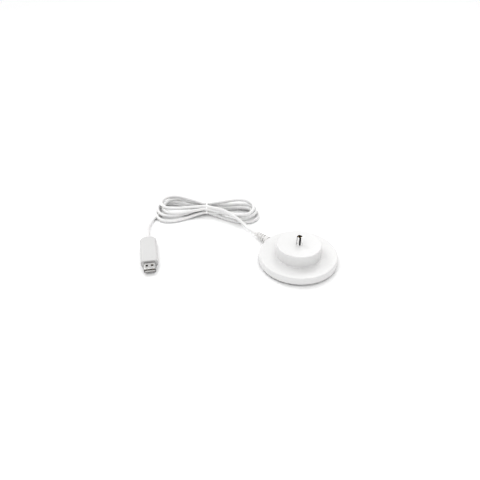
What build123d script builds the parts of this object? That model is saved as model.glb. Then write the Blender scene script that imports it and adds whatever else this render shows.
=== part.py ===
from build123d import *
import os
from math import cos, pi, radians, sin, tan

# Charging base for a toothbrush that stands on a metal contact pin, with its USB cable tied in a hank.
# Millimetres. Origin: centre of the base on the surface it stands on. +Z up, +Y towards the cable exit.

# ---- driving dimensions ------------------------------------------------------------------------------
fit_gap = 0.05                 # radial clearance of pieces that are pressed or slid together
wall = 2.0                     # moulded wall of the case

base_radius = 41.2             # case at its lower edge
base_draft = 0.5               # how much narrower the rim is at the top
base_top_z = 9.3
base_edge_radius = 1.3
lip_z = 2.0                    # lower edge of the case wall
ledge_z = 4.0                  # inner step that the seal closes against
ledge_radius = 36.0

puck_radius = 23.3             # raised seat for the brush, at its top
puck_draft = 0.5
puck_top_z = 22.3
puck_edge_radius = 1.0
puck_foot_radius = 0.8         # hollow fillet where the seat meets the base

plate_bottom_z = 0.8
plate_top_z = 3.2
plate_radius = base_radius - wall - 0.3
foot_radii = (32.5, 36.5)
foot_groove_depth = 0.4
seal_radii = (36.6, 38.4)
ballast_radius = 34.5
ballast_thickness = 1.8

screw_angles = (30, 150, 270)
screw_recess_depth = 0.6       # of the head's height
head_clearance = 0.2           # head below the plate's underside
case_boss_ring = 28.5
case_boss_radius = 3.2
case_screw_radius = 1.15
case_head_radius = 2.4
case_head_height = 1.2
case_screw_tip_z = 6.8
board_boss_ring = 15.0
board_boss_radius = 2.6
board_screw_radius = 0.85
board_head_radius = 1.9
board_head_height = 1.1
board_screw_tip_z = 18.0

pin_radius = 2.75              # 5.5 mm contact pin
pin_root_radius = 3.0          # below the seat's top
pin_top_z = 31.3
pin_wall = 0.5
pin_bottom_z = 15.0
pin_flange_radius = 4.8
pin_flange_height = 1.2
seal_height = 0.8
carrier_foot_radius = 7.5
carrier_foot_height = 1.6
contact_radius = 1.35          # centre contact, 2.1 mm bore
contact_bore_radius = 1.05
contact_recess = 0.7           # centre contact below the tip
tip_recess = 0.15              # insulator below the metal rim
board_radius = 19.0
board_bottom_z = 13.0
board_thickness = 1.2

cord_radius = 1.9
cord_z = 5.2                   # height of the cable's axis in the case wall
sheath_end_y = 27.0            # where the sheath is stripped inside the case
relief_tip_y = 60.0
relief_neck_y = 35.6           # inner end of the neck, where its flange sits
relief_flange = (8.4, 1.3, 3.9)
relief_collar_y = 45.0
relief_collar_radius = 3.9
relief_tip_radius = 2.7
relief_neck_radius = 2.9
relief_core_radius = 2.25
relief_tip_bevel = 0.4
groove_width = 1.1
groove_pitch = 2.9
first_groove = 4.6             # middle of the first groove, from the tip
groove_count = 4
wire_radius = 0.55

hank_centre = (-5.4, 135.2)    # the tie
hank_heading = -46.0           # long axis of the hank, degrees from +X
hank_waist_z = 7.4
hank_waist_radius = 6.9        # nine strands pulled together
tie_thickness = 0.5
tie_width = 1.4
lobe_start = 3.0               # from the tie to the nearest part of a lobe
lobe_height = 14.0
lobe_edge_radius = 3.0

plug_cord_end = (-88.8, 139.2)
plug_heading = -126.1
plug_length = 44.0
plug_width = 18.0
plug_height = 8.4
plug_edge_radius = 2.8
plug_shoulder_radius = 6.5
usb_width = 12.0
usb_height = 4.5
usb_sheet = 0.3
usb_exposed = 11.5
usb_hidden = 8.0
usb_latch_hole = (2.3, 2.2)
usb_latch_spread = 2.65
usb_latch_from_front = 5.8
tongue_height = 1.85
mould_size = (19.0, 14.0, 6.0)

# Cable routes, each as corner points; arcs join the runs.
base_lead_route = [
    (0, 60, 5.2),
    (0, 67.4, 5.2),
    (2.3, 75.3, 4.6),
    (3.3, 83.6, 6.0),
    (2.6, 91.8, 9.1),
    (1.2, 99.8, 11.0),
]
plug_lead_route = [
    (-88.8, 139.2, 4.2),
    (-80.4, 150.7, 4.2),
    (-72.3, 159.3, 3.2),
    (-62.6, 166.2, 2.3),
    (-51.8, 171.0, 1.9),
    (-41.0, 167.5, 1.9),
]

os.makedirs("parts", exist_ok=True)


# ---- helpers -----------------------------------------------------------------------------------------
def heading_plane(place, heading, height=0.0):
    """Plane level with the ground whose x axis points along a heading."""
    x_dir = (cos(radians(heading)), sin(radians(heading)), 0)
    return Plane(origin=(place[0], place[1], height), x_dir=x_dir, z_dir=(0, 0, 1))


def across_cord(y):
    """Plane square to the cable where it passes through the case wall."""
    return Plane(origin=(0, y, cord_z), x_dir=(1, 0, 0), z_dir=(0, 1, 0))


def rim(part, radius, z):
    """Round edges of a turned part at one radius and height."""
    edges = part.edges().filter_by(GeomType.CIRCLE)
    return edges.filter_by(lambda e: abs(e.radius - radius) < 0.02 and abs(e.center().Z - z) < 0.02)


def corner_radii(route):
    """Largest even arc for each corner: 0.45 of the shorter run over the tangent of half the turn."""
    points = [Vector(*p) for p in route]
    radii = []
    for before, corner, after in zip(points, points[1:], points[2:]):
        turn = (corner - before).get_angle(after - corner)
        shorter = min((corner - before).length, (after - corner).length)
        radii.append(0.45 * shorter / tan(radians(turn) / 2))
    return radii


def tube_along(route, radius, name):
    """Round tube along straight runs joined by tangent arcs; prints its radii and volume ratio."""
    radii = corner_radii(route)
    with BuildPart() as tube:
        with BuildLine():
            path = FilletPolyline(*route, radius=radii)
        with BuildSketch(Plane(origin=path @ 0, z_dir=path % 0)):
            Circle(radius)
        sweep()
    ratio = tube.part.volume / (pi * radius**2 * path.length)
    shown_radii = [round(r, 1) for r in radii]
    print(name, "length", round(path.length, 1), "radii", shown_radii, "volume ratio", round(ratio, 4))
    return tube


def ring_points(ring):
    """Centres of the three screws on a ring."""
    return [(ring * cos(radians(a)), ring * sin(radians(a))) for a in screw_angles]


def screw_group(ring, head_radius, head_height, shank_radius, head_z, tip_z):
    """Pan head screws with a cross recess, pointing up, on a ring of three."""
    shank_z = head_z + head_height
    with BuildPart() as screws:
        with BuildSketch(Plane.XY.offset(head_z)):
            with Locations(*ring_points(ring)):
                Circle(head_radius)
        extrude(amount=head_height)
        fillet(screws.edges().group_by(Axis.Z)[0], 0.4)
        with BuildSketch(Plane.XY.offset(shank_z)):
            with Locations(*ring_points(ring)):
                Circle(shank_radius)
        extrude(amount=tip_z - shank_z)
        chamfer(screws.edges().group_by(Axis.Z)[-1], 0.4)
        with BuildSketch(Plane.XY.offset(head_z)):
            with Locations(*ring_points(ring)):
                Rectangle(0.4 * head_radius, 1.4 * head_radius)
                Rectangle(1.4 * head_radius, 0.4 * head_radius)
        extrude(amount=screw_recess_depth * head_height, mode=Mode.SUBTRACT)
    return screws


# ---- case --------------------------------------------------------------------------------------------
base_rim_radius = base_radius - base_draft
puck_base_radius = puck_radius + puck_draft
roof_z = base_top_z - wall
puck_roof_z = puck_top_z - wall
case_inner_radius = base_radius - wall

with BuildPart() as top_shell:
    with BuildSketch(Plane.XZ):
        with BuildLine():
            Polyline(
                (0, puck_top_z),
                (puck_radius, puck_top_z),
                (puck_base_radius, base_top_z),
                (base_rim_radius, base_top_z),
                (base_radius, lip_z),
                (case_inner_radius, lip_z),
                (case_inner_radius, ledge_z),
                (ledge_radius, ledge_z),
                (ledge_radius, roof_z),
                (puck_base_radius - wall, roof_z),
                (puck_radius - wall, puck_roof_z),
                (0, puck_roof_z),
                close=True,
            )
        make_face()
    revolve(axis=Axis.Z)
    fillet(rim(top_shell, base_rim_radius, base_top_z), base_edge_radius)
    fillet(rim(top_shell, puck_radius, puck_top_z), puck_edge_radius)
    fillet(rim(top_shell, puck_base_radius, base_top_z), puck_foot_radius)
    fillet(rim(top_shell, base_radius, lip_z), 0.4)
    # screw bosses under the base and under the seat
    with BuildSketch(Plane.XY.offset(plate_top_z)):
        with Locations(*ring_points(case_boss_ring)):
            Circle(case_boss_radius)
    extrude(amount=roof_z - plate_top_z)
    with BuildSketch(Plane.XY.offset(board_bottom_z + board_thickness)):
        with Locations(*ring_points(board_boss_ring)):
            Circle(board_boss_radius)
    extrude(amount=puck_roof_z - board_bottom_z - board_thickness)
    with BuildSketch(Plane.XY.offset(plate_top_z)):
        with Locations(*ring_points(case_boss_ring)):
            Circle(case_screw_radius + fit_gap)
    extrude(amount=case_screw_tip_z - plate_top_z + 0.3, mode=Mode.SUBTRACT)
    with BuildSketch(Plane.XY.offset(board_bottom_z + board_thickness)):
        with Locations(*ring_points(board_boss_ring)):
            Circle(board_screw_radius + fit_gap)
    extrude(amount=board_screw_tip_z - board_bottom_z - board_thickness + 0.3, mode=Mode.SUBTRACT)
    # hole for the contact pin
    with BuildSketch(Plane.XY.offset(puck_roof_z)):
        Circle(pin_root_radius + fit_gap)
    extrude(amount=wall, mode=Mode.SUBTRACT)
    # cable slot, open towards the bottom plate
    with BuildSketch(across_cord(ledge_radius - 2)):
        Circle(relief_neck_radius + fit_gap)
    extrude(amount=8, mode=Mode.SUBTRACT)
    with BuildSketch(Plane.XY.offset(lip_z)):
        with Locations((0, ledge_radius + 2)):
            Rectangle(2 * (relief_neck_radius + fit_gap), 8)
    extrude(amount=cord_z - lip_z, mode=Mode.SUBTRACT)
top_shell.part.label = "top_shell"
export_step(top_shell.part, "parts/top_shell.step")

with BuildPart() as bottom_plate:
    with BuildSketch(Plane.XY.offset(plate_bottom_z)):
        Circle(plate_radius)
    extrude(amount=plate_top_z - plate_bottom_z)
    fillet(rim(bottom_plate, plate_radius, plate_bottom_z), 0.5)
    with BuildSketch(Plane.XY.offset(plate_bottom_z)):
        Circle(foot_radii[1] + fit_gap)
        Circle(foot_radii[0] - fit_gap, mode=Mode.SUBTRACT)
    extrude(amount=foot_groove_depth, mode=Mode.SUBTRACT)
    with Locations(*[(x, y, plate_bottom_z) for x, y in ring_points(case_boss_ring)]):
        with Locations(Rotation(180, 0, 0)):
            CounterBoreHole(case_screw_radius + 0.15, case_head_radius + 0.2, case_head_height + head_clearance)
    # shallow round recess in the middle of the underside
    with BuildSketch(Plane.XY.offset(plate_bottom_z)):
        Circle(20)
    extrude(amount=0.4, mode=Mode.SUBTRACT)
    with BuildSketch(across_cord(ledge_radius - 0.5)):
        Circle(relief_neck_radius + fit_gap)
    extrude(amount=6, mode=Mode.SUBTRACT)
bottom_plate.part.label = "bottom_plate"
export_step(bottom_plate.part, "parts/bottom_plate.step")

with BuildPart() as foot_ring:
    with BuildSketch():
        Circle(foot_radii[1])
        Circle(foot_radii[0], mode=Mode.SUBTRACT)
    extrude(amount=plate_bottom_z + foot_groove_depth)
    fillet(foot_ring.edges().group_by(Axis.Z)[0], 0.25)
foot_ring.part.label = "foot_ring"
export_step(foot_ring.part, "parts/foot_ring.step")

with BuildPart() as case_seal:
    with BuildSketch(Plane.XY.offset(plate_top_z)):
        Circle(seal_radii[1])
        Circle(seal_radii[0], mode=Mode.SUBTRACT)
    extrude(amount=ledge_z - plate_top_z)
    with BuildSketch(across_cord(ledge_radius)):
        Circle(relief_neck_radius + fit_gap)
    extrude(amount=4, mode=Mode.SUBTRACT)
case_seal.part.label = "case_seal"
export_step(case_seal.part, "parts/case_seal.step")

with BuildPart() as ballast_plate:
    with BuildSketch(Plane.XY.offset(plate_top_z)):
        Circle(ballast_radius)
        Circle(7, mode=Mode.SUBTRACT)
        with Locations(*ring_points(case_boss_ring)):
            Circle(case_boss_radius + 0.3, mode=Mode.SUBTRACT)
        with Locations((0, ballast_radius / 2 + 6)):
            Rectangle(10, ballast_radius, mode=Mode.SUBTRACT)
    extrude(amount=ballast_thickness)
    chamfer(ballast_plate.edges().group_by(Axis.Z)[-1], 0.2)
ballast_plate.part.label = "ballast_plate"
export_step(ballast_plate.part, "parts/ballast_plate.step")

case_screws = screw_group(
    case_boss_ring, case_head_radius, case_head_height, case_screw_radius,
    plate_bottom_z + head_clearance, case_screw_tip_z,
)
case_screws.part.label = "case_screws"
export_step(case_screws.part, "parts/case_screws.step")

# ---- contact pin and its board -----------------------------------------------------------------------
pin_flange_top_z = puck_roof_z - seal_height
pin_flange_z = pin_flange_top_z - pin_flange_height
board_top_z = board_bottom_z + board_thickness

with BuildPart() as contact_barrel:
    with BuildSketch(Plane.XY.offset(pin_bottom_z)):
        Circle(pin_radius)
        Circle(pin_radius - pin_wall, mode=Mode.SUBTRACT)
    extrude(amount=pin_top_z - pin_bottom_z)
    with BuildSketch(Plane.XY.offset(pin_bottom_z)):
        Circle(pin_root_radius)
        Circle(pin_radius - pin_wall, mode=Mode.SUBTRACT)
    extrude(amount=puck_top_z - pin_bottom_z)
    with BuildSketch(Plane.XY.offset(pin_flange_z)):
        Circle(pin_flange_radius)
        Circle(pin_radius - pin_wall, mode=Mode.SUBTRACT)
    extrude(amount=pin_flange_height)
    fillet(rim(contact_barrel, pin_radius, pin_top_z), 0.4)
contact_barrel.part.label = "contact_barrel"
export_step(contact_barrel.part, "parts/contact_barrel.step")

with BuildPart() as pin_insulator:
    with BuildSketch(Plane.XY.offset(pin_bottom_z)):
        Circle(pin_radius - pin_wall - fit_gap)
        Circle(contact_radius + fit_gap, mode=Mode.SUBTRACT)
    extrude(amount=pin_top_z - tip_recess - pin_bottom_z)
    chamfer(rim(pin_insulator, contact_radius + fit_gap, pin_top_z - tip_recess), 0.3)
pin_insulator.part.label = "pin_insulator"
export_step(pin_insulator.part, "parts/pin_insulator.step")

with BuildPart() as centre_contact:
    with BuildSketch(Plane.XY.offset(board_bottom_z - 1.0)):
        Circle(contact_radius)
    extrude(amount=pin_top_z - contact_recess - board_bottom_z + 1.0)
    with Locations((0, 0, pin_top_z - contact_recess)):
        Hole(contact_bore_radius, depth=14)
centre_contact.part.label = "centre_contact"
export_step(centre_contact.part, "parts/centre_contact.step")

with BuildPart() as pin_seal:
    with BuildSketch(Plane.XY.offset(pin_flange_top_z)):
        Circle(pin_flange_radius)
        Circle(pin_root_radius + fit_gap, mode=Mode.SUBTRACT)
    extrude(amount=seal_height)
pin_seal.part.label = "pin_seal"
export_step(pin_seal.part, "parts/pin_seal.step")

with BuildPart() as pin_carrier:
    with BuildSketch(Plane.XY.offset(board_top_z)):
        Circle(carrier_foot_radius)
        Circle(pin_root_radius + 0.2, mode=Mode.SUBTRACT)
    extrude(amount=carrier_foot_height)
    with BuildSketch(Plane.XY.offset(board_top_z + carrier_foot_height)):
        Circle(pin_flange_radius)
        Circle(pin_root_radius + 0.2, mode=Mode.SUBTRACT)
    extrude(amount=pin_flange_z - board_top_z - carrier_foot_height)
pin_carrier.part.label = "pin_carrier"
export_step(pin_carrier.part, "parts/pin_carrier.step")

with BuildPart() as contact_board:
    with BuildSketch(Plane.XY.offset(board_bottom_z)):
        Circle(board_radius)
        Circle(contact_radius + fit_gap, mode=Mode.SUBTRACT)
        with Locations(*ring_points(board_boss_ring)):
            Circle(board_screw_radius + 0.3, mode=Mode.SUBTRACT)
        with Locations((0, board_radius)):
            Rectangle(8, 5, mode=Mode.SUBTRACT)
    extrude(amount=board_thickness)
contact_board.part.label = "contact_board"
export_step(contact_board.part, "parts/contact_board.step")

with BuildPart() as board_components:
    with BuildSketch(Plane.XY.offset(board_top_z)):
        with Locations((-10.5, -2)):
            Rectangle(4.9, 3.9)
        with Locations((-3, -11.5), (1.5, -11.5), (-9, 3.5), (11, 3.5)):
            Rectangle(2.0, 1.25)
    extrude(amount=1.3)
    with BuildSketch(Plane.XY.offset(board_top_z)):
        with Locations((11, -2.5)):
            Circle(2.5)
    extrude(amount=4.8)
    fillet(board_components.edges().group_by(Axis.Z)[-1], 0.4)
board_components.part.label = "board_components"
export_step(board_components.part, "parts/board_components.step")

board_screws = screw_group(
    board_boss_ring, board_head_radius, board_head_height, board_screw_radius,
    board_bottom_z - board_head_height, board_screw_tip_z,
)
board_screws.part.label = "board_screws"
export_step(board_screws.part, "parts/board_screws.step")

# ---- cable inside the case ---------------------------------------------------------------------------
wire_sides = {"wire_positive": 1, "wire_negative": -1}
for wire_name, side in wire_sides.items():
    wire_route = [
        (side * 3.0, 8.0, board_bottom_z),
        (side * 3.0, 8.0, 9.8),
        (side * 2.7, 10.8, 7.2),
        (side * 2.0, 15.4, 5.7),
        (side * 1.0, 21.3, cord_z),
        (side * 1.0, sheath_end_y, cord_z),
    ]
    wire = tube_along(wire_route, wire_radius, wire_name)
    wire.part.label = wire_name
    export_step(wire.part, f"parts/{wire_name}.step")

with BuildPart() as cord_tail:
    with BuildSketch(across_cord(sheath_end_y)):
        Circle(cord_radius)
    extrude(amount=relief_tip_y - sheath_end_y)
cord_tail.part.label = "cord_tail"
export_step(cord_tail.part, "parts/cord_tail.step")

relief_axis = Axis((0, 0, cord_z), (0, 1, 0))
wall_face_y = base_radius + fit_gap
with BuildPart() as strain_relief:
    with BuildSketch(Plane.XY.offset(cord_z)):
        with BuildLine():
            Polyline(
                (0, relief_neck_y),
                (relief_neck_radius, relief_neck_y),
                (relief_neck_radius, wall_face_y),
                (relief_collar_radius, wall_face_y),
                (relief_collar_radius, relief_collar_y - 1.2),
                (relief_tip_radius, relief_tip_y - relief_tip_bevel),
                (relief_tip_radius - relief_tip_bevel, relief_tip_y),
                (0, relief_tip_y),
                close=True,
            )
        make_face()
    revolve(axis=relief_axis)
    # inner flange that locks the relief behind the case wall
    with BuildSketch(across_cord(relief_neck_y - relief_flange[1])):
        Rectangle(relief_flange[0], relief_flange[2])
    extrude(amount=relief_flange[1])
    # bending grooves, each bridged on two sides and turned a quarter from the last
    for number in range(groove_count):
        groove_y = relief_tip_y - first_groove - number * groove_pitch
        bridge_angle = 45 if number % 2 == 0 else -45
        with BuildSketch(across_cord(groove_y - groove_width / 2)):
            Circle(relief_collar_radius + 1)
            Circle(relief_core_radius, mode=Mode.SUBTRACT)
            Rectangle(2.2, 12, rotation=bridge_angle, mode=Mode.SUBTRACT)
        extrude(amount=groove_width, mode=Mode.SUBTRACT)
    with BuildSketch(across_cord(relief_neck_y - relief_flange[1])):
        Circle(cord_radius + fit_gap)
    extrude(amount=relief_tip_y - relief_neck_y + relief_flange[1], mode=Mode.SUBTRACT)
strain_relief.part.label = "strain_relief"
export_step(strain_relief.part, "parts/strain_relief.step")

# ---- hank --------------------------------------------------------------------------------------------
hank_plane = heading_plane(hank_centre, hank_heading)
hank_axis = Plane(
    origin=hank_plane.from_local_coords((-8, 0, hank_waist_z)), x_dir=(0, 0, 1), z_dir=hank_plane.x_dir
)
# semi-axes and sideways offset of each lobe's outline
left_lobe = {"half_length": 29.4, "half_width": 22.9, "offset": 1.4}
right_lobe = {"half_length": 30.9, "half_width": 19.8, "offset": -5.8}

with BuildPart() as cord_hank:
    with BuildSketch(hank_plane):
        with Locations((-(lobe_start + left_lobe["half_length"]), left_lobe["offset"])):
            Ellipse(left_lobe["half_length"], left_lobe["half_width"])
        with Locations((lobe_start + right_lobe["half_length"], right_lobe["offset"])):
            Ellipse(right_lobe["half_length"], right_lobe["half_width"])
    extrude(amount=lobe_height)
    fillet(cord_hank.edges().group_by(Axis.Z)[-1] + cord_hank.edges().group_by(Axis.Z)[0], lobe_edge_radius)
    with BuildSketch(hank_axis):
        Circle(hank_waist_radius)
    extrude(amount=16)
cord_hank.part.label = "cord_hank"
export_step(cord_hank.part, "parts/cord_hank.step")

tie_plane = Plane(
    origin=hank_plane.from_local_coords((-tie_width / 2, 0, hank_waist_z)),
    x_dir=(0, 0, 1),
    z_dir=hank_plane.x_dir,
)
with BuildPart() as cord_tie:
    with BuildSketch(tie_plane):
        Circle(hank_waist_radius + tie_thickness)
        Circle(hank_waist_radius + 0.01, mode=Mode.SUBTRACT)
    extrude(amount=tie_width)
cord_tie.part.label = "cord_tie"
export_step(cord_tie.part, "parts/cord_tie.step")

base_lead = tube_along(base_lead_route, cord_radius, "cord_lead_base")
with BuildPart() as cord_lead_base:
    add(base_lead.part)
    add(cord_hank.part, mode=Mode.SUBTRACT)
cord_lead_base.part.label = "cord_lead_base"
export_step(cord_lead_base.part, "parts/cord_lead_base.step")

plug_lead = tube_along(plug_lead_route, cord_radius, "cord_lead_plug")
with BuildPart() as cord_lead_plug:
    add(plug_lead.part)
    add(cord_hank.part, mode=Mode.SUBTRACT)
cord_lead_plug.part.label = "cord_lead_plug"
export_step(cord_lead_plug.part, "parts/cord_lead_plug.step")

# ---- plug --------------------------------------------------------------------------------------------
plug_mid_z = plug_height / 2
plug_plane = heading_plane(plug_cord_end, plug_heading)


def across_plug(distance):
    """Plane square to the plug, a distance forward of its cable end, at mid height."""
    origin = plug_plane.from_local_coords((distance, 0, plug_mid_z))
    return Plane(origin=origin, x_dir=plug_plane.y_dir, z_dir=plug_plane.x_dir)


usb_back = plug_length - usb_hidden
usb_front = plug_length + usb_exposed
mould_back = usb_back - mould_size[0]

with BuildPart() as plug_overmould:
    with BuildSketch(plug_plane):
        with Locations((plug_length / 2, 0)):
            Rectangle(plug_length, plug_width)
        rear = [v for v in vertices() if abs(plug_plane.to_local_coords(v).X) < 0.1]
        fillet(rear, plug_shoulder_radius)
    extrude(amount=plug_height)
    front_face = plug_overmould.faces().sort_by(plug_plane.location.x_axis)[-1]
    rims = plug_overmould.edges().group_by(Axis.Z)[0] + plug_overmould.edges().group_by(Axis.Z)[-1]
    front_edges = front_face.edges()
    fillet([e for e in rims if e not in front_edges], plug_edge_radius)
    front_face = plug_overmould.faces().sort_by(plug_plane.location.x_axis)[-1]
    fillet(front_face.edges(), 0.5)
    with BuildSketch(across_plug(usb_back)):
        RectangleRounded(usb_width + 2 * fit_gap, usb_height + 2 * fit_gap, 0.6)
    extrude(amount=usb_hidden, mode=Mode.SUBTRACT)
    with BuildSketch(across_plug(mould_back)):
        Rectangle(mould_size[1], mould_size[2])
    extrude(amount=mould_size[0], mode=Mode.SUBTRACT)
    with BuildSketch(across_plug(0)):
        Circle(cord_radius + fit_gap)
    extrude(amount=mould_back, mode=Mode.SUBTRACT)
plug_overmould.part.label = "plug_overmould"
export_step(plug_overmould.part, "parts/plug_overmould.step")

with BuildPart() as plug_inner_mould:
    with BuildSketch(across_plug(mould_back)):
        RectangleRounded(mould_size[1] - 0.1, mould_size[2] - 0.1, 1.0)
    extrude(amount=mould_size[0])
plug_inner_mould.part.label = "plug_inner_mould"
export_step(plug_inner_mould.part, "parts/plug_inner_mould.step")

with BuildPart() as cord_end_plug:
    with BuildSketch(across_plug(0)):
        Circle(cord_radius)
    extrude(amount=mould_back)
cord_end_plug.part.label = "cord_end_plug"
export_step(cord_end_plug.part, "parts/cord_end_plug.step")

latch_x = usb_front - usb_latch_from_front
with BuildPart() as usb_shell:
    with BuildSketch(across_plug(usb_back)):
        RectangleRounded(usb_width, usb_height, 0.6)
        RectangleRounded(usb_width - 2 * usb_sheet, usb_height - 2 * usb_sheet, 0.3, mode=Mode.SUBTRACT)
    extrude(amount=usb_front - usb_back)
    with BuildSketch(plug_plane):
        with Locations((latch_x, usb_latch_spread), (latch_x, -usb_latch_spread)):
            Rectangle(*usb_latch_hole)
    extrude(amount=plug_height, mode=Mode.SUBTRACT)
usb_shell.part.label = "usb_shell"
export_step(usb_shell.part, "parts/usb_shell.step")

tongue_bottom = plug_mid_z - usb_height / 2 + usb_sheet + 0.02
tongue_top = tongue_bottom + tongue_height
tongue_front = usb_front - 0.6
tongue_width = usb_width - 2 * usb_sheet - 0.7
contact_rows = [(3.5, 7.4), (1.0, 6.4), (-1.0, 6.4), (-3.5, 7.4)]
with BuildPart() as usb_tongue:
    with BuildSketch(heading_plane(plug_cord_end, plug_heading, tongue_bottom)):
        with Locations(((usb_back + tongue_front) / 2, 0)):
            Rectangle(tongue_front - usb_back, tongue_width)
    extrude(amount=tongue_height)
    for contact_y, contact_length in contact_rows:
        with BuildSketch(heading_plane(plug_cord_end, plug_heading, tongue_top - 0.25)):
            with Locations((tongue_front - 1.0 - contact_length / 2, contact_y)):
                Rectangle(contact_length + 0.1, 1.1)
        extrude(amount=0.25, mode=Mode.SUBTRACT)
usb_tongue.part.label = "usb_tongue"
export_step(usb_tongue.part, "parts/usb_tongue.step")

with BuildPart() as usb_contacts:
    for contact_y, contact_length in contact_rows:
        with BuildSketch(heading_plane(plug_cord_end, plug_heading, tongue_top - 0.25)):
            with Locations((tongue_front - 1.0 - contact_length / 2, contact_y)):
                Rectangle(contact_length, 1.0)
        extrude(amount=0.33)
usb_contacts.part.label = "usb_contacts"
export_step(usb_contacts.part, "parts/usb_contacts.step")
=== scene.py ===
"""A toothbrush charging base with a contact pin, and its USB cable tied in a hank."""

import logging
import math
from dataclasses import dataclass, field
from enum import Enum
from typing import Any, Optional, Sequence, Union

import bmesh
import bpy
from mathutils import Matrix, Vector


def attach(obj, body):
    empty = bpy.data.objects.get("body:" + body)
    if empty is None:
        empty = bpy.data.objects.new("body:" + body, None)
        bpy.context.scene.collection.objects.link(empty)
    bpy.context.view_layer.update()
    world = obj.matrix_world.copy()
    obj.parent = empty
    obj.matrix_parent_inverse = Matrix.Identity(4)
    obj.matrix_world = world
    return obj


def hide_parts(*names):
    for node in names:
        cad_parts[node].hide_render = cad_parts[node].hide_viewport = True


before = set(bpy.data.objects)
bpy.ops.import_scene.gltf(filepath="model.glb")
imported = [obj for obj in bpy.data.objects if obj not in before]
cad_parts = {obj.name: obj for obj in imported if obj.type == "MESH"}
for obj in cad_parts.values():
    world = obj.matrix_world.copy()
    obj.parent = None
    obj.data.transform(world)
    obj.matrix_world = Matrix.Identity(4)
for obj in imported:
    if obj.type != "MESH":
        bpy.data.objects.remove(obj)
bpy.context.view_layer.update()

MM = 0.001
NOISE_MIDDLE = 0.5
log = logging.getLogger("charging_base")

Colour = tuple[float, float, float, float]
Point = tuple[float, float, float]
Flat = tuple[float, float]


# ---- shader graphs -----------------------------------------------------------------------------------


class Wire:
    """A node's output; arithmetic on it adds Math nodes."""

    def __init__(self, graph: "Graph", socket: bpy.types.NodeSocket) -> None:
        """Wrap one output of a graph.

        Args:
            graph: The graph that new nodes go into.
            socket: The output socket.
        """
        self.graph = graph
        self.socket = socket

    def _math(self, operation: str, first: "Term", second: "Term") -> "Wire":
        """Return a Math node of two terms."""
        return self.graph.node("ShaderNodeMath", {"operation": operation}, {0: first, 1: second})

    def __add__(self, other: "Term") -> "Wire":
        """Return the sum."""
        return self._math("ADD", self, other)

    __radd__ = __add__

    def __sub__(self, other: "Term") -> "Wire":
        """Return this less the other."""
        return self._math("SUBTRACT", self, other)

    def __rsub__(self, other: "Term") -> "Wire":
        """Return the other less this."""
        return self._math("SUBTRACT", other, self)

    def __mul__(self, other: "Term") -> "Wire":
        """Return the product."""
        return self._math("MULTIPLY", self, other)

    __rmul__ = __mul__

    def over(self, edge: float, soft: float) -> "Wire":
        """Return a mask that rises from 0 to 1 round an edge.

        Args:
            edge: Value at the middle of the rise.
            soft: Half the width of the rise.

        Returns:
            The mask.
        """
        rise = {"From Min": edge - soft, "From Max": edge + soft, "Value": self}
        return self.graph.node("ShaderNodeMapRange", {"interpolation_type": "SMOOTHSTEP"}, rise)


Term = Union[Wire, float]


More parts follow.
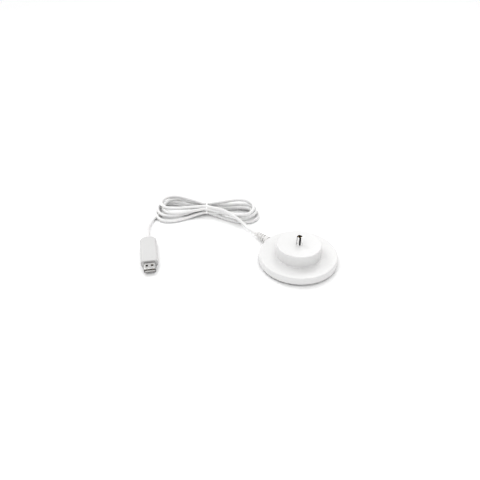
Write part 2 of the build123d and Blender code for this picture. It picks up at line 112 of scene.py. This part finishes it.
class Graph:
    """The node tree of a new material or of the surroundings."""

    def __init__(self, owner: Union[bpy.types.Material, bpy.types.World]) -> None:
        """Start an empty tree.

        Args:
            owner: What the tree belongs to.
        """
        self.owner = owner
        owner.use_nodes = True
        self.tree = owner.node_tree
        self.tree.nodes.clear()

    @classmethod
    def material(cls, name: str) -> "Graph":
        """Return the empty tree of a new material."""
        return cls(bpy.data.materials.new(name))

    def node(
        self,
        kind: str,
        settings: dict[str, Any],
        inputs: dict[Union[str, int], Any],
        output: Union[str, int] = 0,
    ) -> Wire:
        """Add a node, its settings first and its sockets after.

        Args:
            kind: Blender's type name of the node.
            settings: Properties of the node, such as a Math node's operation.
            inputs: Values or wires by socket.
            output: The socket that the result comes from.

        Returns:
            The chosen output.
        """
        node = self.tree.nodes.new(kind)
        for name, value in settings.items():
            setattr(node, name, value)
        for name, value in inputs.items():
            if isinstance(value, Wire):
                self.tree.links.new(value.socket, node.inputs[name])
            else:
                node.inputs[name].default_value = value
        return Wire(self, node.outputs[output])

    def place(self) -> Wire:
        """Return the position on the object, in metres."""
        return self.node("ShaderNodeTexCoord", {}, {}, "Object")

    def stretched(self, scale: Point) -> Wire:
        """Return the position with each axis scaled."""
        return self.node("ShaderNodeMapping", {}, {"Vector": self.place(), "Scale": scale})

    def axis(self, name: str) -> Wire:
        """Return one coordinate of the position, in metres."""
        return self.node("ShaderNodeSeparateXYZ", {}, {0: self.place()}, name)

    def cloud(self, size: float, detail: float = 2.0, at: Optional[Wire] = None) -> Wire:
        """Return a soft noise.

        Args:
            size: Width of a blotch, in metres.
            detail: How many finer layers it has.
            at: The position to use, where it isn't the object's own.

        Returns:
            The noise, about 0.3 to 0.7.
        """
        inputs = {"Vector": at or self.place(), "Scale": 1.0 / size, "Detail": detail}
        return self.node("ShaderNodeTexNoise", {}, inputs)

    def cells(self, size: float, feature: str = "F1") -> Wire:
        """Return a Voronoi distance with cells of a size in metres."""
        inputs = {"Vector": self.place(), "Scale": 1.0 / size}
        return self.node("ShaderNodeTexVoronoi", {"feature": feature}, inputs, "Distance")

    def mix(self, factor: Term, first: Any, second: Any) -> Wire:
        """Return a blend of two colours."""
        return self.node("ShaderNodeMix", {"data_type": "RGBA"}, {0: factor, 6: first, 7: second}, 2)

    def bump(self, height: Wire, depth: float, under: Optional[Wire] = None) -> Wire:
        """Return a bumped normal.

        Args:
            height: Height map, about 0 to 1.
            depth: What 1 stands for, in metres.
            under: A bump that this one goes on top of.

        Returns:
            The normal.
        """
        inputs: dict[Union[str, int], Any] = {"Height": height, "Distance": depth, "Strength": 1.0}
        if under is not None:
            inputs["Normal"] = under
        return self.node("ShaderNodeBump", {}, inputs)

    def surface(self, inputs: dict[Union[str, int], Any]) -> bpy.types.Material:
        """Close the graph with a Principled surface.

        Args:
            inputs: Values or wires of its sockets.

        Returns:
            The finished material.
        """
        shader = self.node("ShaderNodeBsdfPrincipled", {}, inputs)
        self.close(shader, "ShaderNodeOutputMaterial")
        return self.owner

    def close(self, shader: Wire, kind: str) -> None:
        """Send a shader to a new output node of a kind."""
        output = self.tree.nodes.new(kind)
        self.tree.links.new(shader.socket, output.inputs["Surface"])


# ---- finishes ----------------------------------------------------------------------------------------


def grey(level: float, warm: float = 0.0) -> Colour:
    """Return a near-neutral colour.

    Args:
        level: Brightness, linear.
        warm: How much the blue drops and the red rises.

    Returns:
        The colour with full alpha.
    """
    return (level * (1 + warm), level, level * (1 - warm), 1.0)


@dataclass(frozen=True)
class MouldedPlastic:
    """Injection-moulded plastic with a spark-eroded skin, faint flow and handling marks."""

    colour: Colour
    shade: Colour
    gloss: float = 0.32
    grain: float = 0.00035
    grain_depth: float = 0.000004
    wave_depth: float = 0.00003
    coat: float = 0.0
    coat_gloss: float = 0.12
    ior: float = 1.49
    flow_size: float = 0.028
    flow_soft: float = 0.2
    flow_rough: float = 0.06
    mark_size: float = 0.006
    mark_stretch: Point = (1.0, 2.3, 1.4)
    mark_edge: float = 0.60
    mark_soft: float = 0.12
    mark_rough: float = 0.10
    soil: float = 0.04
    soil_tone: float = 0.82

    def material(self, name: str) -> bpy.types.Material:
        """Return the finish as a material."""
        graph = Graph.material(name)
        flow = graph.cloud(self.flow_size, 3.0)
        marks = graph.cloud(self.mark_size, 4.0, graph.stretched(self.mark_stretch))
        marks = marks.over(self.mark_edge, self.mark_soft)
        pits = graph.cloud(self.grain)
        base = graph.mix(flow.over(NOISE_MIDDLE, self.flow_soft), self.colour, self.shade)
        dirt = tuple(self.soil_tone * c for c in self.shade[:3]) + (1.0,)
        rough = self.gloss + self.mark_rough * marks + self.flow_rough * (flow - NOISE_MIDDLE)
        swell = graph.bump(flow, self.wave_depth)
        return graph.surface({
            "Base Color": graph.mix(marks * self.soil, base, dirt),
            "Roughness": rough,
            "Coat Weight": self.coat,
            "Coat Roughness": self.coat_gloss,
            "IOR": self.ior,
            "Normal": graph.bump(pits, self.grain_depth, swell),
        })


@dataclass(frozen=True)
class CableJacket:
    """Soft extruded jacket: satin, a little uneven, with a trace of dust."""

    colour: Colour
    shade: Colour
    gloss: float = 0.40
    ior: float = 1.50
    sheen: float = 0.06
    sheen_rough: float = 0.4
    dust_size: float = 0.0016
    dust_edge: float = 0.66
    dust_soft: float = 0.08
    dust_weight: float = 0.18
    dust_rough: float = 0.14
    dust_depth: float = 0.00001
    dust_colour: Colour = grey(0.58, 0.02)
    patch_size: float = 0.018
    patch_soft: float = 0.2
    patch_depth: float = 0.00006

    def material(self, name: str) -> bpy.types.Material:
        """Return the finish as a material."""
        graph = Graph.material(name)
        dust = graph.cloud(self.dust_size, 4.0)
        patch = graph.cloud(self.patch_size)
        base = graph.mix(patch.over(NOISE_MIDDLE, self.patch_soft), self.colour, self.shade)
        specks = dust.over(self.dust_edge, self.dust_soft) * self.dust_weight
        swell = graph.bump(patch, self.patch_depth)
        return graph.surface({
            "Base Color": graph.mix(specks, base, self.dust_colour),
            "Roughness": self.gloss + self.dust_rough * dust,
            "IOR": self.ior,
            "Sheen Weight": self.sheen,
            "Sheen Roughness": self.sheen_rough,
            "Normal": graph.bump(dust, self.dust_depth, swell),
        })


@dataclass(frozen=True)
class Plating:
    """Bright plating over turned or rolled metal, with fine lines, rubs and finger marks."""

    colour: Colour
    dull: Colour
    gloss: float = 0.10
    lines: Point = (1.0, 1.0, 40.0)
    line_depth: float = 0.0000015
    line_size: float = 0.0016
    line_tone: float = 0.25
    line_rough: float = 0.08
    touch_size: float = 0.0042
    touch_edge: float = 0.58
    touch_soft: float = 0.12
    touch_tone: float = 0.35
    touch_rough: float = 0.12

    def material(self, name: str) -> bpy.types.Material:
        """Return the finish as a material."""
        graph = Graph.material(name)
        drawn = graph.cloud(self.line_size, 3.0, graph.stretched(self.lines))
        touch = graph.cloud(self.touch_size, 3.0).over(self.touch_edge, self.touch_soft)
        wear = touch * self.touch_tone + self.line_tone * drawn
        return graph.surface({
            "Base Color": graph.mix(wear, self.colour, self.dull),
            "Metallic": 1.0,
            "Roughness": self.gloss + self.touch_rough * touch + self.line_rough * drawn,
            "Normal": graph.bump(drawn, self.line_depth),
        })


@dataclass(frozen=True)
class PolishedPin:
    """Bright barrel with painted reflections: streaks of painted shade along it that widen towards its
    tip.

    The middle of the first painted reflection streak is in degrees round the barrel, and widen says how
    fast the streaks narrow below the tip.
    """

    colour: Colour
    painted_reflection_dark: Colour
    reflection_streaks: int = 4
    first: float = 231.0
    edge: float = 0.30
    soft: float = 0.35
    widen: float = 30.0
    tip_z: float = 0.0313
    gloss: float = 0.10
    scuff_size: float = 0.0014
    scuff_stretch: Point = (1.0, 1.0, 0.3)
    scuff_edge: float = 0.6
    scuff_soft: float = 0.1
    scuff_weight: float = 0.15
    scuff_rough: float = 0.14
    scuff_depth: float = 0.000002
    scuff_colour: Colour = grey(0.45)

    def material(self, name: str) -> bpy.types.Material:
        """Return the finish as a material."""
        graph = Graph.material(name)
        sides = {0: graph.axis("Y"), 1: graph.axis("X")}
        turn = graph.node("ShaderNodeMath", {"operation": "ARCTAN2"}, sides)
        phase = self.reflection_streaks * (turn - math.radians(self.first))
        wave = graph.node("ShaderNodeMath", {"operation": "COSINE"}, {0: phase})
        near_tip = (graph.axis("Z") - self.tip_z) * self.widen
        # painted reflection: dark streaks by angle round the barrel, widening into a dark wedge under
        # the tip
        painted_reflection_mask = (wave + near_tip).over(self.edge, self.soft)
        reflected_tone = graph.mix(painted_reflection_mask, self.colour, self.painted_reflection_dark)
        scuff = graph.cloud(self.scuff_size, 4.0, graph.stretched(self.scuff_stretch))
        rubs = scuff.over(self.scuff_edge, self.scuff_soft) * self.scuff_weight
        return graph.surface({
            "Base Color": graph.mix(rubs, reflected_tone, self.scuff_colour),
            "Metallic": 1.0,
            "Roughness": self.gloss + self.scuff_rough * scuff,
            "Normal": graph.bump(scuff, self.scuff_depth),
        })


@dataclass(frozen=True)
class Rubber:
    """Matt rubber with a stippled skin and a trace of lint."""

    colour: Colour
    gloss: float = 0.72
    stipple_size: float = 0.00045
    stipple_rough: float = 0.16
    stipple_depth: float = 0.00003
    lint_size: float = 0.0009
    lint_edge: float = 0.68
    lint_soft: float = 0.04
    lint_weight: float = 0.5
    lint_lift: float = 0.18

    def material(self, name: str) -> bpy.types.Material:
        """Return the finish as a material."""
        graph = Graph.material(name)
        stipple = graph.cells(self.stipple_size)
        lint = graph.cloud(self.lint_size, 5.0).over(self.lint_edge, self.lint_soft)
        pale = tuple(min(1.0, c + self.lint_lift) for c in self.colour[:3]) + (1.0,)
        return graph.surface({
            "Base Color": graph.mix(lint * self.lint_weight, self.colour, pale),
            "Roughness": self.gloss + self.stipple_rough * stipple,
            "Normal": graph.bump(stipple, self.stipple_depth),
        })


@dataclass(frozen=True)
class CircuitBoard:
    """Green solder mask with copper tracks under it and bare pads."""

    mask: Colour = (0.010, 0.115, 0.035, 1.0)
    over_track: Colour = (0.022, 0.200, 0.060, 1.0)
    pad: Colour = (0.74, 0.60, 0.30, 1.0)
    gloss: float = 0.30
    track_pitch: float = 0.0052
    track_half: float = 0.07
    track_soft: float = 0.015
    pad_pitch: float = 0.0037
    pad_radius: float = 0.16
    pad_soft: float = 0.02
    pad_rough: float = 0.10
    copper_depth: float = 0.00003

    def material(self, name: str) -> bpy.types.Material:
        """Return the finish as a material."""
        graph = Graph.material(name)
        web = graph.cells(self.track_pitch, "DISTANCE_TO_EDGE")
        track = 1.0 - web.over(self.track_half, self.track_soft)
        pads = 1.0 - graph.cells(self.pad_pitch).over(self.pad_radius, self.pad_soft)
        skin = graph.mix(track, self.mask, self.over_track)
        return graph.surface({
            "Base Color": graph.mix(pads, skin, self.pad),
            "Metallic": pads,
            "Roughness": self.gloss + self.pad_rough * pads,
            "Normal": graph.bump(track + pads, self.copper_depth),
        })


class Finish(Enum):
    """Every finish on the object, by what it is used for."""

    CASE = MouldedPlastic(
        grey(0.795, 0.002), grey(0.788, 0.003), coat=0.06, wave_depth=0.00001, grain_depth=0.000002
    )
    UNDER = MouldedPlastic(grey(0.72, 0.006), grey(0.68, 0.008), gloss=0.46, grain_depth=0.00001)
    PLUG = MouldedPlastic(
        grey(0.70, 0.003), grey(0.692, 0.004), gloss=0.34, wave_depth=0.00001, grain_depth=0.000002
    )
    RELIEF = MouldedPlastic(grey(0.79, 0.006), grey(0.77, 0.008), gloss=0.48, wave_depth=0.00001)
    TIE = MouldedPlastic(grey(0.99, 0.001), grey(0.98, 0.002), gloss=0.34, wave_depth=0.00001)
    INSIDE = MouldedPlastic(grey(0.58, 0.01), grey(0.52, 0.01), gloss=0.5)
    TONGUE = MouldedPlastic(grey(0.74, 0.006), grey(0.70, 0.008), gloss=0.42, wave_depth=0.000008)
    TIP = MouldedPlastic(grey(0.012), grey(0.018), gloss=0.36, wave_depth=0.000008)
    CHIP = MouldedPlastic(grey(0.016), grey(0.024), gloss=0.5, wave_depth=0.000008)
    CABLE = CableJacket(grey(0.825, 0.002), grey(0.81, 0.003))
    RED_WIRE = CableJacket((0.52, 0.018, 0.014, 1.0), (0.44, 0.014, 0.012, 1.0))
    BLACK_WIRE = CableJacket(grey(0.016), grey(0.026))
    FOOT = Rubber(grey(0.42, 0.01))
    SEAL = Rubber(grey(0.05))
    # the near-black colour is painted reflection on the bright barrel
    PIN = PolishedPin(grey(0.97, 0.002), grey(0.03))
    STEEL = Plating(grey(0.52, 0.01), grey(0.36, 0.02), gloss=0.30, lines=(1.0, 1.0, 12.0))
    SCREW = Plating(grey(0.60, 0.006), grey(0.44, 0.01), gloss=0.20, lines=(1.0, 1.0, 18.0))
    BRASS = Plating((0.80, 0.58, 0.26, 1.0), (0.58, 0.40, 0.18, 1.0), gloss=0.20)
    SHELL = Plating(grey(0.66, 0.006), grey(0.54, 0.01), gloss=0.16, lines=(12.0, 18.0, 3.0))
    GOLD = Plating((0.90, 0.66, 0.28, 1.0), (0.72, 0.50, 0.20, 1.0), gloss=0.16)
    BOARD = CircuitBoard()


class Paints:
    """Materials made once each from the finishes."""

    def __init__(self) -> None:
        """Start with none made."""
        self._made: dict[Finish, bpy.types.Material] = {}

    def get(self, finish: Finish) -> bpy.types.Material:
        """Return a finish's material, made when it is first asked for."""
        if finish not in self._made:
            self._made[finish] = finish.value.material(finish.name.lower())
        return self._made[finish]

    def dress(self, node: str, finish: Finish) -> None:
        """Put a finish on a CAD node.

        Args:
            node: The node's name.
            finish: What it is made of.
        """
        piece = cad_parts[node]
        if not piece.material_slots:
            piece.data.materials.append(None)
        for slot in piece.material_slots:
            slot.material = self.get(finish)
        log.info("%s: %s", node, finish.name.lower())


@dataclass
class Assembly:
    """Pieces of the frame that only need their finish."""

    paints: Paints

    def wear(self, finishes: dict[str, Finish]) -> None:
        """Dress several CAD nodes.

        Args:
            finishes: Finish by node name.
        """
        for node, finish in finishes.items():
            self.paints.dress(node, finish)


# ---- sub-assemblies ----------------------------------------------------------------------------------


@dataclass
class Case(Assembly):
    """Case, its plate, foot, seal, ballast and screws."""

    def build(self) -> None:
        """Dress the case."""
        self.wear({
            "top_shell": Finish.CASE,
            "bottom_plate": Finish.UNDER,
            "foot_ring": Finish.FOOT,
            "case_seal": Finish.SEAL,
            "ballast_plate": Finish.STEEL,
            "case_screws": Finish.SCREW,
        })


@dataclass
class ContactPin(Assembly):
    """Coaxial pin with its seal, carrier and board."""

    def build(self) -> None:
        """Dress the pin and what holds it."""
        self.wear({
            "contact_barrel": Finish.PIN,
            "pin_insulator": Finish.TIP,
            "centre_contact": Finish.BRASS,
            "pin_seal": Finish.SEAL,
            "pin_carrier": Finish.INSIDE,
            "contact_board": Finish.BOARD,
            "board_components": Finish.CHIP,
            "board_screws": Finish.SCREW,
            "wire_positive": Finish.RED_WIRE,
            "wire_negative": Finish.BLACK_WIRE,
        })


@dataclass
class Plug(Assembly):
    """USB plug at the cable's far end."""

    def build(self) -> None:
        """Dress the plug."""
        self.wear({
            "plug_overmould": Finish.PLUG,
            "plug_inner_mould": Finish.INSIDE,
            "cord_end_plug": Finish.CABLE,
            "usb_shell": Finish.SHELL,
            "usb_tongue": Finish.TONGUE,
            "usb_contacts": Finish.GOLD,
        })


class Side(Enum):
    """Which side of the tie a loop lies on, as the sign of x along the hank."""

    LEFT = -1
    RIGHT = 1


@dataclass(frozen=True)
class Loop:
    """One loop of cable, from the tie and back, in millimetres and degrees.

    The near run is on the -y side of the hank and the far run on the +y side.
    """

    reach: float
    heading: float
    half_width: float
    near_z: float
    end_z: float
    far_z: float


@dataclass(frozen=True)
class Slot:
    """Place of one pass of cable inside the tie, from the bundle's centre, in millimetres."""

    y: float
    z: float


@dataclass
class Hank:
    """The cable's whole centre line: lead from the base, tied loops, lead to the plug.

    Sizes are in millimetres and degrees. A run keeps its height over the share free_from of its loop's
    reach, then goes to the height of the loop's end. Runs stay in the bundle as far as hold_end and
    spread out of it over the next tie_reach.
    """

    centre: tuple[float, float] = (-5.4, 135.2)
    heading: float = -46.0
    bundle_z: float = 7.4
    points_per_loop: int = 11
    first_angle: float = 52.0
    taper: float = 1.6
    free_from: float = 0.6
    hold_end: float = 4.0
    tie_reach: float = 20.0
    left: Sequence[Loop] = (
        Loop(54.5, 9.9, 20.1, 11.2, 10.6, 10.9),
        Loop(51.5, 5.2, 23.6, 8.0, 7.6, 7.8),
        Loop(57.8, 3.0, 23.5, 4.9, 4.9, 4.7),
        Loop(59.8, -1.8, 28.3, 1.9, 2.3, 1.9),
    )
    right: Sequence[Loop] = (
        Loop(57.0, -6.2, 24.6, 10.9, 10.7, 11.0),
        Loop(59.6, -7.9, 20.8, 7.8, 7.6, 7.8),
        Loop(55.5, -5.4, 14.2, 5.0, 4.9, 4.6),
        Loop(62.8, -9.2, 22.3, 1.9, 2.0, 1.9),
    )
    slots: Sequence[Slot] = (
        Slot(-2.4, 4.0),
        Slot(1.4, 3.9),
        Slot(-4.4, 1.8),
        Slot(4.4, 1.6),
        Slot(-0.4, 0.0),
        Slot(4.4, -1.9),
        Slot(-4.2, -2.5),
        Slot(1.9, -4.3),
        Slot(-1.9, -4.4),
    )
    base_lead: Sequence[Point] = (
        (0.0, 60.0, 5.2),
        (0.0, 67.4, 5.2),
        (2.3, 75.3, 4.6),
        (3.3, 83.6, 6.0),
        (2.6, 91.8, 9.1),
        (1.2, 99.8, 11.0),
        (-0.2, 107.9, 12.8),
        (-2.6, 116.2, 13.3),
        (-5.5, 123.9, 12.7),
    )
    under_loops: Sequence[Point] = (
        (-13.0, -4.6, 2.4),
        (-25.0, -4.4, 1.9),
        (-37.0, -3.8, 1.9),
        (-48.0, -3.2, 1.9),
    )
    plug_lead: Sequence[Point] = (
        (-51.8, 171.0, 1.9),
        (-62.6, 166.2, 2.3),
        (-72.3, 159.3, 3.2),
        (-80.4, 150.7, 4.2),
        (-88.8, 139.2, 4.2),
    )

    def to_object(self, point: Point) -> Point:
        """Turn a point of the hank's own axes into the object's."""
        cos, sin = math.cos(math.radians(self.heading)), math.sin(math.radians(self.heading))
        x, y, z = point
        return (self.centre[0] + x * cos - y * sin, self.centre[1] + x * sin + y * cos, z)

    def tied(self, slot: Slot) -> Point:
        """Return where a pass lies inside the tie."""
        return (0.0, slot.y, self.bundle_z + slot.z)

    @staticmethod
    def ease(value: float) -> float:
        """Return a smooth step from 0 to 1."""
        held = min(1.0, max(0.0, value))
        return held * held * (3.0 - 2.0 * held)

    def loop_points(self, loop: Loop, side: Side, out: Slot, back: Slot) -> list[Point]:
        """Work out one loop's control points.

        Args:
            loop: The loop's sizes.
            side: Which side of the tie it is on.
            out: Where the cable leaves the tie.
            back: Where it comes back.

        Returns:
            Points in the hank's own axes, in millimetres.
        """
        points = []
        swing = 360.0 - 2.0 * self.first_angle
        cos, sin = math.cos(math.radians(loop.heading)), math.sin(math.radians(loop.heading))
        for number in range(self.points_per_loop):
            angle = math.radians(self.first_angle + swing * number / (self.points_per_loop - 1))
            along = loop.reach * (1.0 - math.cos(angle)) / 2.0
            width = loop.half_width * math.sin(angle) * math.sin(angle / 2.0) ** self.taper
            across = side.value * width
            slot = out if number < self.points_per_loop / 2 else back
            run_z = loop.near_z if across < 0 else loop.far_z
            freed = self.ease((along / loop.reach - self.free_from) / (1.0 - self.free_from))
            free_z = run_z + (loop.end_z - run_z) * freed
            hold = 1.0 - self.ease((along - self.hold_end) / self.tie_reach)
            points.append((
                side.value * (along * cos - across * sin),
                along * sin + across * cos + slot.y * hold,
                free_z + (self.bundle_z + slot.z - free_z) * hold,
            ))
        return points

    def route(self) -> list[Point]:
        """Return every control point in the object's axes, in millimetres."""
        own: list[Point] = []
        for turn, (left, right) in enumerate(zip(self.left, self.right)):
            first, second, third = self.slots[2 * turn : 2 * turn + 3]
            own.append(self.tied(first))
            own += self.loop_points(left, Side.LEFT, first, second)
            own.append(self.tied(second))
            own += self.loop_points(right, Side.RIGHT, second, third)
        own.append(self.tied(self.slots[-1]))
        own += list(self.under_loops)
        return list(self.base_lead) + [self.to_object(p) for p in own] + list(self.plug_lead)


@dataclass
class Cable(Assembly):
    """The cable with its strain relief and tie."""

    hank: Hank = field(default_factory=Hank)
    diameter: float = 3.8
    length: float = 1.25
    exit: Point = (0.0, 60.0, 5.2)
    tie_place: float = 1.1
    tie_width: float = 1.6
    tie_thickness: float = 0.9
    tie_gap: float = 0.05
    tie_shoulder: float = 0.6
    tie_flat: float = 0.5
    rim_points: int = 48
    facets: int = 6

    def cord(self) -> bpy.types.Object:
        """Make the cable as one smooth curve."""
        data = bpy.data.curves.new("usb_cable", "CURVE")
        data.dimensions = "3D"
        points = self.hank.route()
        log.info("usb_cable: %d control points", len(points))
        spline = data.splines.new("NURBS")
        spline.points.add(len(points) - 1)
        for knot, point in zip(spline.points, points):
            knot.co = (*(MM * value for value in point), 1.0)
        spline.order_u = 3
        spline.use_endpoint_u = True
        spline.resolution_u = self.facets
        data.bevel_depth = MM * self.diameter / 2
        data.bevel_resolution = self.facets
        data.use_fill_caps = True
        piece = bpy.data.objects.new("usb_cable", data)
        bpy.context.scene.collection.objects.link(piece)
        data.materials.append(self.paints.get(Finish.CABLE))
        return piece

    @staticmethod
    def turn(a: Flat, b: Flat, c: Flat) -> float:
        """Return twice the signed area of three points."""
        return (b[0] - a[0]) * (c[1] - a[1]) - (b[1] - a[1]) * (c[0] - a[0])

    def taut_side(self, points: Sequence[Flat]) -> list[Flat]:
        """Work out one side of the line pulled taut round points.

        Args:
            points: The points, in order across.

        Returns:
            Corners of that side, without its last one.
        """
        chain: list[Flat] = []
        for point in points:
            while len(chain) > 1 and self.turn(chain[-2], chain[-1], point) <= 0:
                chain.pop()
            chain.append(point)
        return chain[:-1]

    def tie_outline(self) -> list[Flat]:
        """Return the tie's inner line round the bundle, in the hank's y and z."""
        radius = self.diameter / 2 + self.tie_gap
        angles = [2 * math.pi * k / self.rim_points for k in range(self.rim_points)]
        rims = sorted(
            (slot.y + radius * math.cos(a), self.hank.bundle_z + slot.z + radius * math.sin(a))
            for slot in self.hank.slots
            for a in angles
        )
        return self.taut_side(rims) + self.taut_side(rims[::-1])

    def tie(self) -> bpy.types.Object:
        """Make the band that holds the bundle, with a domed outer face."""
        mesh = bmesh.new()
        half, skin = self.tie_width / 2, self.tie_thickness
        flat, shoulder = self.tie_flat * half, self.tie_shoulder * skin
        section = (
            (-half, 0.0),
            (-half, shoulder),
            (-flat, skin),
            (flat, skin),
            (half, shoulder),
            (half, 0.0),
        )
        outline = self.tie_outline()
        middle = [sum(values) / len(outline) for values in zip(*outline)]
        rings = []
        for x, grow in section:
            ring = []
            for y, z in outline:
                out = Vector((y - middle[0], z - middle[1])).normalized() * grow
                placed = self.hank.to_object((self.tie_place + x, y + out.x, max(z + out.y, 0.0)))
                ring.append(mesh.verts.new([MM * value for value in placed]))
            rings.append(ring)
        for first, second in zip(rings, rings[1:] + rings[:1]):
            for k in range(len(first)):
                after = (k + 1) % len(first)
                mesh.faces.new((first[k], first[after], second[after], second[k]))
        bmesh.ops.recalc_face_normals(mesh, faces=mesh.faces)
        log.info("tie_band: %d faces", len(mesh.faces))
        data = bpy.data.meshes.new("tie_band")
        mesh.to_mesh(data)
        mesh.free()
        data.shade_smooth()
        piece = bpy.data.objects.new("tie_band", data)
        bpy.context.scene.collection.objects.link(piece)
        data.materials.append(self.paints.get(Finish.TIE))
        return piece

    def build(self) -> None:
        """Make the cable and its tie, and dress what they meet."""
        self.wear({"cord_tail": Finish.CABLE, "strain_relief": Finish.RELIEF})
        tie = self.tie()
        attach(tie, "root")
        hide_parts("cord_tie")
        cord = self.cord()
        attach(cord, "root")
        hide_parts("cord_hank", "cord_lead_base", "cord_lead_plug")


# ---- studio ------------------------------------------------------------------------------------------


@dataclass(frozen=True)
class SoftBox:
    """A square soft light aimed at a point, in metres and watts."""

    name: str
    place: Point
    size: float
    power: float

    def build(self, target: Point) -> None:
        """Hang the light.

        Args:
            target: What it is aimed at.
        """
        data = bpy.data.lights.new(self.name, "AREA")
        data.shape = "SQUARE"
        data.size = self.size
        data.energy = self.power
        light = bpy.data.objects.new(self.name, data)
        light.location = self.place
        aim = Vector(target) - Vector(self.place)
        light.rotation_euler = aim.to_track_quat("-Z", "Y").to_euler()
        bpy.context.scene.collection.objects.link(light)


@dataclass(frozen=True)
class Studio:
    """Floor, surroundings, lights and camera, in metres; the lens and sensor are in millimetres."""

    eye: Point = (-0.3502, -0.2536, 0.3447)
    look: Point = (0.5775, 0.5577, -0.5962)
    lens: float = 39.08
    sensor: float = 36.0
    nearest: float = 0.01
    floor_size: float = 16.0
    floor_drop: float = 0.0001
    floor_white: float = 0.97
    floor_mottle: float = 0.01
    floor_haze: float = 0.6
    floor_rough: float = 0.85
    floor_shine: float = 0.1
    sky_level: float = 0.855
    sky_overhead: float = 0.25
    sky_middle: float = 0.5
    sky_slant: float = 0.12
    bright_side: Point = (-0.87, -0.49, 0.0)
    contrast: float = 0.61
    target: Point = (0.0, 0.06, 0.01)
    lights: Sequence[SoftBox] = (
        SoftBox("left", (0.0, 0.66, 0.62), 0.35, 1.1),
        SoftBox("right", (0.50, 0.20, 0.62), 0.35, 0.8),
    )

    def floor(self) -> None:
        """Lay a plain pale sheet just under the object."""
        mesh = bmesh.new()
        bmesh.ops.create_grid(mesh, x_segments=8, y_segments=8, size=self.floor_size / 2)
        data = bpy.data.meshes.new("floor")
        mesh.to_mesh(data)
        mesh.free()
        sheet = bpy.data.objects.new("floor", data)
        sheet.location = (0.0, 0.0, -self.floor_drop)
        bpy.context.scene.collection.objects.link(sheet)
        graph = Graph.material("floor_sheet")
        haze = graph.cloud(self.floor_haze)
        dim = grey(self.floor_white - self.floor_mottle)
        data.materials.append(graph.surface({
            "Base Color": graph.mix(haze, grey(self.floor_white), dim),
            "Roughness": self.floor_rough,
            "Specular IOR Level": self.floor_shine,
        }))

    def surroundings(self) -> None:
        """Light the room evenly, a little brighter overhead and towards one side."""
        world = bpy.data.worlds.new("studio")
        graph = Graph(world)
        way = graph.node("ShaderNodeTexCoord", {}, {}, "Generated")
        height = graph.node("ShaderNodeSeparateXYZ", {}, {0: way}, "Z")
        pair = {0: way, 1: self.bright_side}
        aside = graph.node("ShaderNodeVectorMath", {"operation": "DOT_PRODUCT"}, pair, "Value")
        overhead = height.over(self.sky_middle, self.sky_middle) * self.sky_overhead
        strength = self.sky_level + overhead + self.sky_slant * aside
        sky = graph.node("ShaderNodeBackground", {}, {"Color": grey(1.0), "Strength": strength})
        graph.close(sky, "ShaderNodeOutputWorld")
        bpy.context.scene.world = world

    def camera(self) -> None:
        """Set the camera up."""
        data = bpy.data.cameras.new("camera")
        data.lens = self.lens
        data.sensor_width = self.sensor
        data.clip_start = self.nearest
        camera = bpy.data.objects.new("camera", data)
        camera.location = self.eye
        camera.rotation_euler = Vector(self.look).to_track_quat("-Z", "Y").to_euler()
        bpy.context.scene.collection.objects.link(camera)
        bpy.context.scene.camera = camera

    def build(self) -> None:
        """Set up everything round the object."""
        self.floor()
        self.surroundings()
        for light in self.lights:
            light.build(self.target)
        self.camera()
        view = bpy.context.scene.view_settings
        view.view_transform = "Standard"
        view.gamma = self.contrast
        log.info("studio: %d lights", len(self.lights))


def main() -> None:
    """Build the object and the studio, logging what is made."""
    logging.basicConfig(level=logging.INFO, format="%(name)s %(message)s")
    Studio().build()
    paints = Paints()
    Cable(paints).build()
    Case(paints).build()
    ContactPin(paints).build()
    Plug(paints).build()


if __name__ == "__main__":
    main()
